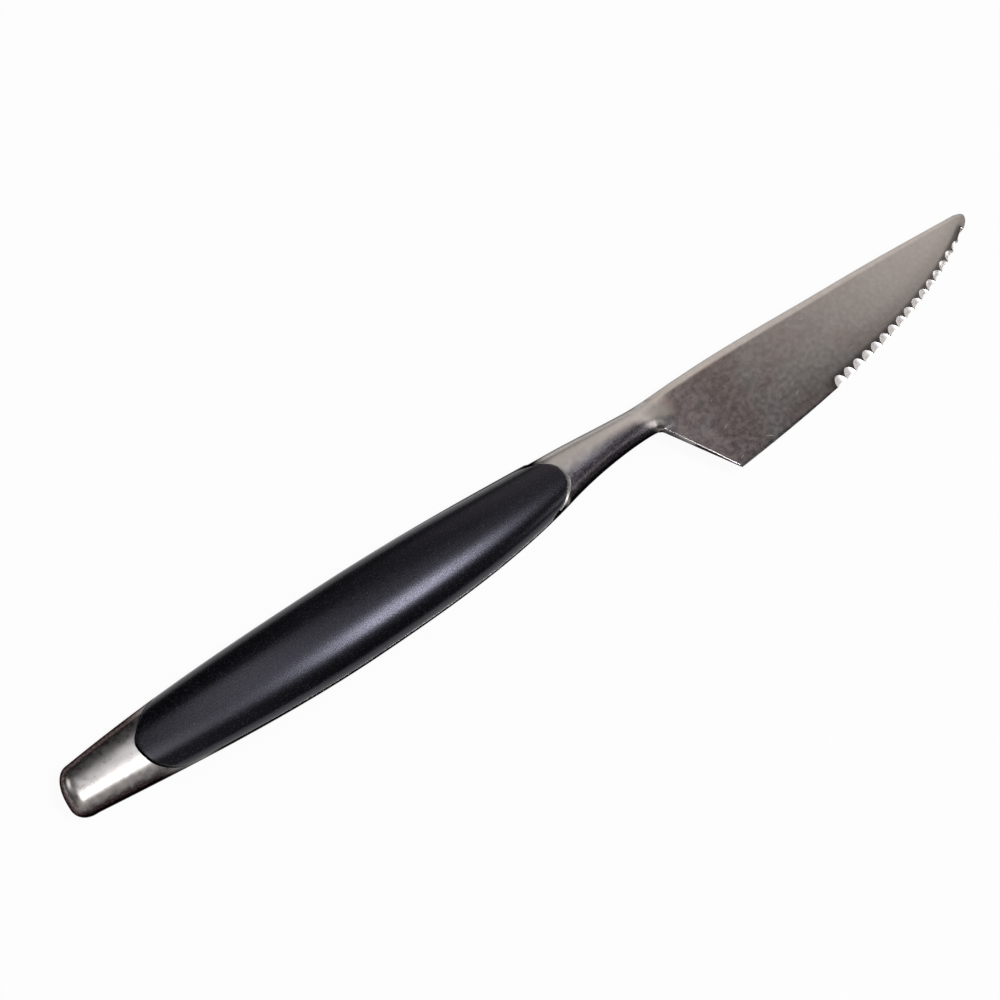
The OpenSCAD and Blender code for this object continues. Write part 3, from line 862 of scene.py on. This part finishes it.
def forged_steel(knife, colours):
    """Satin steel: brown over the heel, with painted shade on the sides of neck and pommel and a hammered
    grain.
    """
    graph = Finish("forged_steel")
    place = graph.place()
    x, y = graph.parts(place)[:2]
    facing = graph.parts(graph.add("ShaderNodeNewGeometry").outputs["Normal"])
    root, heel, tip = (STEEL_LOW.x + v for v in (knife.root_x, knife.heel_x, OVERALL_L))
    on_blade = graph.ramp(x, root - knife.h.slim_off, root + knife.h.slim_off)
    mottle = graph.noise(place, 900.0, 4.0, 0.6)
    cloud = graph.noise(place, 90.0, 3.0)
    grain = graph.noise(place, 6500.0, 2.0, 0.6)
    peel = graph.noise(place, 2600.0, 3.0, 0.7)
    brush = graph.noise(graph.turned(place, 0, (220, 9000, 9000)), 1.0, 2.0)
    marks = scratches(graph, place)
    on_pommel, cover, depth = shade_shares(graph, knife, x, y, facing, mottle)
    level = graph.ramp(graph.math("ABSOLUTE", facing[2]), 0.975, 0.995)
    stained = graph.times(on_blade, level, graph.ramp(x, tip, heel), graph.ramp(cloud, 0.35, 0.62))
    tint = graph.mix(stained, colours.steel, colours.stain)
    tint = graph.mix(graph.times(on_pommel, 0.75), tint, colours.bright)
    tint = graph.scaled(tint, graph.spread(mottle, 0.92, 1.05))
    tint = graph.mix(graph.times(marks, 0.35), tint, colours.bright)
    # Painted shade over the serration darkens the steel's colour
    tint = graph.scaled(tint, edge_shade(graph, knife, x, y))
    # Painted shade round the blade's root darkens it further
    tint = graph.scaled(tint, root_shade(graph, knife, x, y))
    # The forge skin colours are painted shade for the dark reflections on the sides, laid where the shade
    # mask covers the steel
    dark = graph.mix(on_pommel, colours.skin, colours.warm_shade)
    depth = graph.times(depth, graph.ramp(peel, 0.38, 0.66, 0.55, 1.6))
    tint = graph.mix(cover, tint, graph.scaled(dark, depth))
    satin = graph.times(graph.ramp(x, root - knife.h.slim_off, heel + 0.003, 0.13, 0.0),
                        graph.line(on_pommel, -0.22, 1.0))
    rough = graph.plus(graph.spread(mottle, 0.17, 0.21), graph.times(marks, 0.2), satin,
                       graph.times(graph.less(brush, 0.5), 0.06))
    pitted = graph.times(graph.less(1.0, on_blade), 2.2, graph.line(on_pommel, -0.6, 1.0))
    relief = graph.plus(graph.times(grain, 0.3), graph.times(brush, 0.25), graph.times(peel, pitted))
    return graph.done(tint, rough, Metallic=1.0, Specular_Tint=(0.1, 0.1, 0.1, 1),
                      Normal=graph.bump(relief, 0.000006))


def ground_steel(colours):
    """Bright steel with the even, dull grain that a grinding wheel leaves."""
    graph = Finish("ground_steel")
    grain = graph.noise(graph.place(), 5200.0, 3.0, 0.7)
    tint = graph.scaled(colours.bright, graph.spread(grain, 0.85, 1.0))
    return graph.done(tint, graph.spread(grain, 0.34, 0.44), Metallic=1.0, Normal=graph.bump(grain, 0.000003))


def pin_steel(colours):
    """Drawn steel wire of the hidden pins."""
    graph = Finish("pin_steel")
    lines = graph.noise(graph.turned(graph.place(), 0, (4000, 4000, 300)), 1.0, 2.0)
    tint = graph.scaled(colours.steel, graph.spread(lines, 0.8, 1.0))
    return graph.done(tint, graph.spread(lines, 0.3, 0.45), Metallic=1.0)


def composite(colours):
    """Matt black composite with pale flecks of filler and a fine moulded grain."""
    graph = Finish("composite")
    place = graph.place()
    grain = graph.noise(place, 4200.0, 3.0, 0.65)
    cloud = graph.noise(place, 160.0, 3.0)
    flecks = graph.add("ShaderNodeTexVoronoi", {"Vector": place, "Scale": 4000.0, "Randomness": 1.0})
    pick = graph.add("ShaderNodeSeparateColor", {0: flecks.outputs["Color"]}).outputs[0]
    near = graph.times(graph.fall(flecks.outputs["Distance"], 0.15, 0.4), graph.ramp(pick, 0.45, 1.0))
    tint = graph.scaled(colours.composite, graph.spread(cloud, 0.7, 1.4))
    tint = graph.mix(graph.times(near, 0.6), tint, colours.fleck)
    relief = graph.plus(grain, graph.times(near, 0.5))
    return graph.done(tint, graph.spread(grain, 0.23, 0.31), Specular_IOR_Level=0.5,
                      Specular_Tint=(0.86, 0.84, 1.0, 1), Normal=graph.bump(relief, 0.000005))


def epoxy(colours):
    """Cured adhesive, which shows as a fine dark line round the scales."""
    graph = Finish("epoxy")
    cloud = graph.noise(graph.place(), 900.0, 3.0)
    tint = graph.scaled(colours.epoxy, graph.spread(cloud, 0.7, 1.3))
    return graph.done(tint, graph.spread(cloud, 0.35, 0.5))


def dress(piece, name, replaced):
    """Gives a finished piece its name and body, and hides the nodes that it stands for."""
    piece.name = name
    piece.data.name = name
    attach(piece, "root")
    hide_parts(*replaced)


def edge_line(knife):
    """The cutting edge from the tip backwards, as a line that the serration follows."""
    points = knife.edge_point(np.linspace(1, 0, EDGE_POINTS))
    points = in_place(np.concatenate([points, np.zeros((len(points), 1))], 1))
    mesh = bpy.data.meshes.new("edge_line")
    mesh.from_pydata([tuple(p) for p in points], [(i, i + 1) for i in range(len(points) - 1)], [])
    return linked("edge_line", mesh)


SERRATION_INPUTS = {
    "Geometry": ("Edge",),
    "Int": ("Teeth", "Segments", "Rings"),
    "Float": ("Pitch", "Reach", "Tip reach", "Drop", "Tip drop", "Scallop share", "Outside share",
              "Lift share", "Half thickness", "Slope"),
    "Vector": ("Taper", "Datum"),
    "Material": ("Material",),
}


def serration_tree():
    """Geometry Nodes that set an ellipsoid over each gap between two teeth, as deep as the blade is thick."""
    tree = bpy.data.node_groups.new("serration", "GeometryNodeTree")
    tree.interface.new_socket("Geometry", in_out="OUTPUT", socket_type="NodeSocketGeometry")
    for kind, names in SERRATION_INPUTS.items():
        for name in names:
            tree.interface.new_socket(name, in_out="INPUT", socket_type="NodeSocket" + kind)
    g = Graph(tree)
    given = g.add("NodeGroupInput").outputs
    curve = g.add("GeometryNodeMeshToCurve", {0: given["Edge"]}).outputs[0]
    gaps = g.add("GeometryNodePoints", {"Count": given["Teeth"]}).outputs[0]
    number = g.plus(g.add("GeometryNodeInputIndex").outputs[0], 0.5)
    sample = g.add("GeometryNodeSampleCurve", {"Curves": curve, "Length": g.times(number, given["Pitch"])},
                   mode="LENGTH").outputs
    place, way = sample["Position"], g.scaled(sample["Tangent"], -1)
    off = g.vector("SUBTRACT", place, given["Datum"])
    half_t = g.plus(given["Half thickness"], g.vector("DOT_PRODUCT", off, given["Taper"]))
    along = g.over(number, given["Teeth"])

    def between(tip, heel):
        return g.plus(tip, g.times(along, g.less(heel, tip)))

    def root_of_rest(value):
        """The square root of one less the square."""
        return g.math("SQRT", g.less(1.0, g.times(value, value)))

    # Each ball meets the face in an ellipse that rises by the reach and is one pitch wide at the edge.
    # It is so deep that it draws the edge in by the scallop
    reach = g.times(between(given["Tip reach"], given["Reach"]), g.ramp(number, 0.0, 2.8, 0.2, 1.0))
    drop = between(given["Tip drop"], given["Drop"])
    outside, lift = given["Outside share"], given["Lift share"]
    section = root_of_rest(lift)
    whole_share = g.over(g.plus(outside, 1.0), section)
    out_share = g.over(outside, g.plus(outside, 1.0))
    along_edge = g.over(g.over(g.times(given["Pitch"], 0.5), root_of_rest(out_share)), section)
    through = g.over(g.plus(given["Scallop share"], outside), whole_share)
    deep = g.over(g.less(g.times(half_t, 2.0), drop), g.less(root_of_rest(through), lift))
    # The ball's size, heading and seat: outside the edge, and above the face by the lift
    size = g.joined(along_edge, g.times(reach, whole_share), deep)
    way_x, way_y = g.parts(way)[:2]
    heading = g.math("ARCTAN2", way_y, way_x)
    turn = g.joined(g.math("ARCTANGENT", given["Slope"]), 0.0, heading)
    out = g.times(reach, outside)
    level = g.plus(g.less(g.less(half_t, drop), g.times(out, given["Slope"])), g.times(deep, lift))
    aside = g.scaled(g.vector("CROSS_PRODUCT", (0, 0, 1), way), g.times(out, -1.0))
    seat = g.vector("ADD", g.vector("ADD", place, aside), g.joined(0.0, 0.0, level))
    gaps = g.add("GeometryNodeSetPosition", {"Geometry": gaps, "Position": seat}).outputs[0]
    ball = g.add("GeometryNodeMeshUVSphere", {"Segments": given["Segments"], "Rings": given["Rings"]})
    balls = g.add("GeometryNodeInstanceOnPoints", {"Points": gaps, "Instance": ball.outputs["Mesh"],
                                                   "Rotation": turn, "Scale": size}).outputs[0]
    balls = g.add("GeometryNodeRealizeInstances", {0: balls}).outputs[0]
    balls = g.add("GeometryNodeSetMaterial", {"Geometry": balls, "Material": given["Material"]}).outputs[0]
    g.add("NodeGroupOutput", {0: balls})
    return tree


def grown(piece, tree, values, name):
    """A plain mesh of what a Geometry Nodes tree makes of the piece with these input values."""
    modifier = piece.modifiers.new(tree.name, "NODES")
    modifier.node_group = tree
    keys = {item.name: item.identifier for item in tree.interface.items_tree if item.in_out == "INPUT"}
    for label, value in values.items():
        modifier[keys[label]] = value
    return baked(piece, name)


def scoop_cutters(knife, material):
    """The ellipsoids that cut the scoops of the serration."""
    k, b, s = knife, knife.b, knife.s
    datum = in_place((k.heel_x, b.spine_y, 0))
    middle = s.reach / 2
    drop, tip_drop = (b.roll_slope * (w * w - middle * middle) / 2 / w for w in (b.roll_w, b.tip_roll_w))
    values = {
        "Teeth": s.count, "Segments": 40, "Rings": 20, "Pitch": s.pitch, "Reach": s.reach,
        "Tip reach": s.tip_reach, "Drop": drop, "Tip drop": tip_drop, "Scallop share": s.scallop / s.reach,
        "Outside share": s.outside, "Lift share": s.lift, "Half thickness": b.spine_t / 2,
        "Slope": k.taper_y + b.roll_slope * (1 - middle / b.roll_w), "Taper": (k.taper_x, k.taper_y, 0),
        "Datum": tuple(datum), "Material": material,
    }
    return grown(edge_line(k), serration_tree(), values, "scoops")


def prism(name, outline, low, high, material):
    """A straight block over a plan outline."""
    n = len(outline)
    points = [(*p, low) for p in outline] + [(*p, high) for p in outline]
    faces = [tuple(range(n - 1, -1, -1)), tuple(range(n, 2 * n))]
    faces += [(i, (i + 1) % n, n + (i + 1) % n, n + i) for i in range(n)]
    return mesh_object(name, in_place(points), faces, material)


def scale_rooms(knife, material):
    """The two pockets that the scales lie in."""
    outline = np.concatenate([knife.end_outline(True, 0), knife.end_outline(False, 0)[::-1]])
    spans = (sorted((side * TANG_T / 2, side * HANDLE_T)) for side in (1, -1))
    return [prism("room", outline, low, high, material) for low, high in spans]


def shoulder_lips(knife, material):
    """Cutters for the bright bevels round the scales' front ends, wide below and thin above."""
    k, h = knife, knife.h
    turns = np.radians(k.LIP_TURNS)
    angles = np.linspace(turns[0], turns[-1], LIP_POINTS)
    width = h.lip_w * smooth_curve(angles, turns, k.LIP_SHARES, np.zeros(len(turns)))
    radius = k.end_radius(angles, False)

    def ring(grow):
        x, y = k.front_center + (radius + grow) * np.cos(angles), (radius + grow) * np.sin(angles)
        return np.stack([x, y, k.handle_half_t(x, y)], 1)

    border, far, inner = ring(0), ring(width), ring(-k.LIP_OVERLAP)
    inner[:, 2] = border[:, 2] - (width + k.LIP_OVERLAP) * h.lip_slope
    start = np.stack([border[:, 0], border[:, 1], inner[:, 2]], 1)
    outer = far + (far - start) * k.LIP_OVERSHOOT
    above = inner + np.array((0, 0, k.LIP_CUT_H))
    lips = []
    for side in (1, -1):
        rings = np.stack([inner, outer, above], 1) * np.array((1, 1, side))
        points, faces = skin(in_place(rings))
        lips.append(mesh_object("lip", points, faces, material))
    return lips


def scale_piece(knife, name, material, side, fine):
    """One scale: the handle's skin between two round ends, with rounded rims, walls and a flat foot."""
    k, h = knife, knife.h
    along, across = int(SCALE_ROWS * fine), int(SCALE_COLUMNS * fine)
    low = TANG_T / 2 + BOND_T
    share = np.linspace(0, 1, across)

    def skin_point(x, v):
        p = k.power(x)
        side_t = k.side(x)
        start = np.arcsin((low / side_t) ** (p / 2))
        a = start + (math.pi - 2 * start) * v
        back, belly = k.back(x), k.belly(x)
        y = (back - belly) / 2 + (back + belly) / 2 * signed_power(np.cos(a), 2 / p)
        return y, side_t * signed_power(np.sin(a), 2 / p)

    def end_x(y, inset, rear):
        outline = k.end_outline(rear, h.end_gap + inset, h.rear_wear if rear else 0, LINE_POINTS)
        return np.interp(y, outline[:, 1], outline[:, 0])

    def end_line(inset, rear):
        # The end's outline gives x from y and the skin gives y from x, so they are met by small moves
        x = np.full(across, k.scale_rear + h.rear_r if rear else k.scale_front - h.front_r)
        for _ in range(END_TRIES):
            y, z = skin_point(x, share)
            x = 0.5 * x + 0.5 * end_x(y, inset, rear)
        y, z = skin_point(x, share)
        return np.stack([x, y, z], 1)

    rows = []
    for rear in (True, False):
        wall = end_line(0, rear)
        inner = end_line(h.rim_r, rear)
        inner_z = np.maximum(inner[:, 2], low)
        foot = wall.copy()
        foot[:, 2] = low
        rim = []
        for phi in np.linspace(0, math.pi / 2, RIM_STEPS, endpoint=False):
            t = 1 - math.cos(phi)
            point = wall + (inner - wall) * t
            drop = np.minimum(h.rim_r, inner_z - low) * (1 - math.sin(phi))
            point[:, 2] = np.maximum((wall[:, 2] + (inner_z - wall[:, 2]) * t) - drop, low)
            rim.append(point)
        rows.append([foot, *rim, inner])
    start, stop = rows[0][-1], rows[1][-1]
    grid = [*rows[0][:-1]]
    for t in np.linspace(0, 1, along):
        x = start[:, 0] + (stop[:, 0] - start[:, 0]) * t
        y, z = skin_point(x, share)
        grid.append(np.stack([x, y, z], 1))
    grid += rows[1][-2::-1]
    grid = np.array(grid)
    m, n = grid.shape[:2]
    points = grid.reshape(-1, 3) * np.array((1, 1, side))
    faces = grid_faces(m, n, False)
    border = [j * n for j in range(m)] + [(m - 1) * n + i for i in range(1, n)]
    border += [j * n + n - 1 for j in range(m - 2, -1, -1)] + list(range(n - 2, 0, -1))
    faces.append(tuple(border))
    return mesh_object(name, in_place(points), faces, material)


def camera_at(scene):
    """The camera of the photograph's view, as a fit to the knife's outline found it."""
    data = bpy.data.cameras.new("view")
    data.sensor_width = 36
    data.lens = 50.98
    data.clip_start = 0.01
    right = Vector((0.797335, -0.581732, 0.160762))
    down = Vector((-0.521661, -0.798228, -0.301167))
    ahead = Vector((0.303523, 0.156268, -0.939922))
    place = Matrix.Translation((-0.095879, -0.033912, 0.257750))
    scene.camera = linked("view", data)
    scene.camera.matrix_world = place @ Matrix((right, -down, -ahead)).transposed().to_4x4()


# Each lamp's place, what it points at, its size, its power in watts and its tint
LAMPS = {
    "key": ((0.175, -0.19, 0.96), (-0.03, 0, 0), (0.12, 0.30), 3.8, (0.92, 0.93, 1.0)),
    "top": ((-0.03, 0.22, 0.96), (-0.1, 0, 0), (0.10, 0.36), 0.42, (0.96, 0.96, 1.0)),
    "overhead": ((-0.325, -0.155, 0.86), (-0.1, 0, 0), (0.36, 0.36), 1.5, (1.0, 0.98, 0.96)),
    "right": ((0.78, -0.58, 0.38), (0.08, 0, 0), (0.45, 0.7), 2.4, (1.0, 0.98, 0.96)),
    "left": ((-0.9, 0.55, 0.6), (0, 0, 0), (0.4, 0.4), 0.9, (1.0, 0.98, 0.96)),
}
# The world's two bright zones: the way to each, where it starts and is whole, and how bright it is
ZONES = (
    ((0.79, 0.43, 0.44), 0.77, 0.872, 0.84),
    ((-0.6, -0.7, 0.4), 0.74, 0.9, 0.3),
)
DIM_LEVEL = 0.02
DIM_TINT = (0.93, 0.93, 1.0)
ZONE_TINT = (1.0, 0.94, 0.90)
FLOOR_REACH = 4.0


def lamp(name, at, towards, size, power, tint):
    """A soft lamp. Its first size lies across the world's Y and its second along it."""
    data = bpy.data.lights.new(name, "AREA")
    data.shape = "RECTANGLE"
    data.size, data.size_y = size
    data.energy = power
    data.color = tint
    back = (Vector(at) - Vector(towards)).normalized()
    across = Vector((0, 1, 0)).cross(back).normalized()
    turn = Matrix((across, back.cross(across), back)).transposed()
    linked(name, data).matrix_world = Matrix.Translation(at) @ turn.to_4x4()


def studio_world(scene):
    """Soft light from all round, brightest from one side and dim from the other."""
    world = bpy.data.worlds.new("studio")
    world.use_nodes = True
    world.node_tree.nodes.clear()
    g = Graph(world.node_tree)
    way = g.add("ShaderNodeTexCoord").outputs["Generated"]
    level, tint = DIM_LEVEL, DIM_TINT
    for at, low, high, more in ZONES:
        facing = g.vector("DOT_PRODUCT", way, tuple(Vector(at).normalized()))
        zone = g.ramp(facing, low, high, 0.0, more)
        level = g.plus(level, zone)
        tint = g.mix(g.math("MINIMUM", g.times(zone, 8.0), 1.0), tint, ZONE_TINT)
    back = g.add("ShaderNodeBackground", {"Color": tint, "Strength": level})
    g.add("ShaderNodeOutputWorld", {"Surface": back.outputs[0]})
    scene.world = world


def floor_finish(colours):
    """Pale matt floor that shows near white and keeps soft shadows."""
    graph = Finish("floor")
    cloud = graph.noise(graph.place(), 3.0, 2.0)
    tint = graph.scaled(colours.floor, graph.spread(cloud, 0.99, 1.0))
    matt = graph.add("ShaderNodeBsdfPrincipled", {"Base Color": tint, "Roughness": 0.9}).outputs[0]
    path = graph.add("ShaderNodeLightPath").outputs
    seen = graph.most(path["Is Camera Ray"], path["Is Glossy Ray"], path["Is Transmission Ray"])
    glow = graph.add("ShaderNodeEmission", {"Color": (1, 1, 1), "Strength": 1.0}).outputs[0]
    both = graph.add("ShaderNodeMixShader", {0: graph.times(seen, 0.93), 1: matt, 2: glow})
    return graph.shown(both.outputs[0])


class KNIFE_OT_forging(bpy.types.Operator):
    """Makes the blade, neck, tang and pommel as one piece of steel"""
    bl_idname = "knife.forging"
    bl_label = "Forging"

    def execute(self, context):
        knife = Knife(context.scene)
        colours = context.scene.knife_finishes
        fine = 1.0
        steel, ground = forged_steel(knife, colours), ground_steel(colours)
        rings = forging_rings(knife, int(RING_POINTS * fine), fine)
        end = (0, (knife.h.pommel_back - knife.h.pommel_belly) / 2 - knife.h.pommel_drop, 0)
        points, faces = skin(rings, end)
        blank = mesh_object("blank", in_place(points), faces, steel)
        cutters = scale_rooms(knife, steel) + shoulder_lips(knife, ground)
        forging = cut(blank, [*cutters, scoop_cutters(knife, ground)], "forging")
        smooth_shading(forging, 30)
        dress(forging, "forging", ["blade_and_tang"])
        return {"FINISHED"}


class KNIFE_OT_scales(bpy.types.Operator):
    """Makes the two composite scales"""
    bl_idname = "knife.scales"
    bl_label = "Scales"

    def execute(self, context):
        knife = Knife(context.scene)
        material = composite(context.scene.knife_finishes)
        fine = 1.0
        for name, side in (("right_scale", 1), ("left_scale", -1)):
            piece = scale_piece(knife, name + "_shell", material, side, fine)
            smooth_shading(piece, 40)
            dress(piece, name + "_shell", [name])
        return {"FINISHED"}


class KNIFE_OT_joinery(bpy.types.Operator):
    """Gives the bonds and the hidden pins their finishes"""
    bl_idname = "knife.joinery"
    bl_label = "Bonds and pins"

    def execute(self, context):
        colours = context.scene.knife_finishes
        finishes = {"bond": epoxy(colours), "pin": pin_steel(colours)}
        for name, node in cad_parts.items():
            kind = name.split("_")[-1]
            if kind in finishes:
                node.data.materials.clear()
                node.data.materials.append(finishes[kind])
        return {"FINISHED"}


class KNIFE_OT_studio(bpy.types.Operator):
    """Makes the floor, the lamps, the world and the camera"""
    bl_idname = "knife.studio"
    bl_label = "Studio"

    def execute(self, context):
        scene = context.scene
        corners = [(x * FLOOR_REACH, y * FLOOR_REACH, 0) for x, y in ((-1, -1), (1, -1), (1, 1), (-1, 1))]
        mesh = bpy.data.meshes.new("floor")
        mesh.from_pydata(corners, [], [(0, 1, 2, 3)])
        mesh.materials.append(floor_finish(scene.knife_finishes))
        linked("floor", mesh)
        studio_world(scene)
        for name, (at, towards, size, power, tint) in LAMPS.items():
            lamp(name, at, towards, size, power, tint)
        camera_at(scene)
        scene.view_settings.view_transform = "Standard"
        return {"FINISHED"}


class KNIFE_PT_panel(bpy.types.Panel):
    """Lists the sizes, the finishes and the steps"""
    bl_idname = "KNIFE_PT_panel"
    bl_label = "Steak knife"
    bl_space_type = "VIEW_3D"
    bl_region_type = "UI"
    bl_category = "Knife"

    def draw(self, context):
        layout = self.layout
        for name in GROUPS:
            box = layout.box()
            group = getattr(context.scene, name)
            for key in group.__annotations__:
                box.prop(group, key)
        for step in STEPS:
            layout.operator(step.bl_idname)


GROUPS = {
    "knife_blade": BladeSizes,
    "knife_serration": SerrationSizes,
    "knife_handle": HandleSizes,
    "knife_finishes": KnifeFinishes,
}
STEPS = (KNIFE_OT_forging, KNIFE_OT_scales, KNIFE_OT_joinery, KNIFE_OT_studio)


def register():
    for kind in (*GROUPS.values(), *STEPS, KNIFE_PT_panel):
        bpy.utils.register_class(kind)
    for name, kind in GROUPS.items():
        setattr(bpy.types.Scene, name, PointerProperty(type=kind))


def unregister():
    for name in GROUPS:
        delattr(bpy.types.Scene, name)
    for kind in reversed((*GROUPS.values(), *STEPS, KNIFE_PT_panel)):
        bpy.utils.unregister_class(kind)


def main():
    register()
    bpy.ops.knife.forging()
    bpy.ops.knife.scales()
    bpy.ops.knife.joinery()
    bpy.ops.knife.studio()


if __name__ == "__main__":
    main()
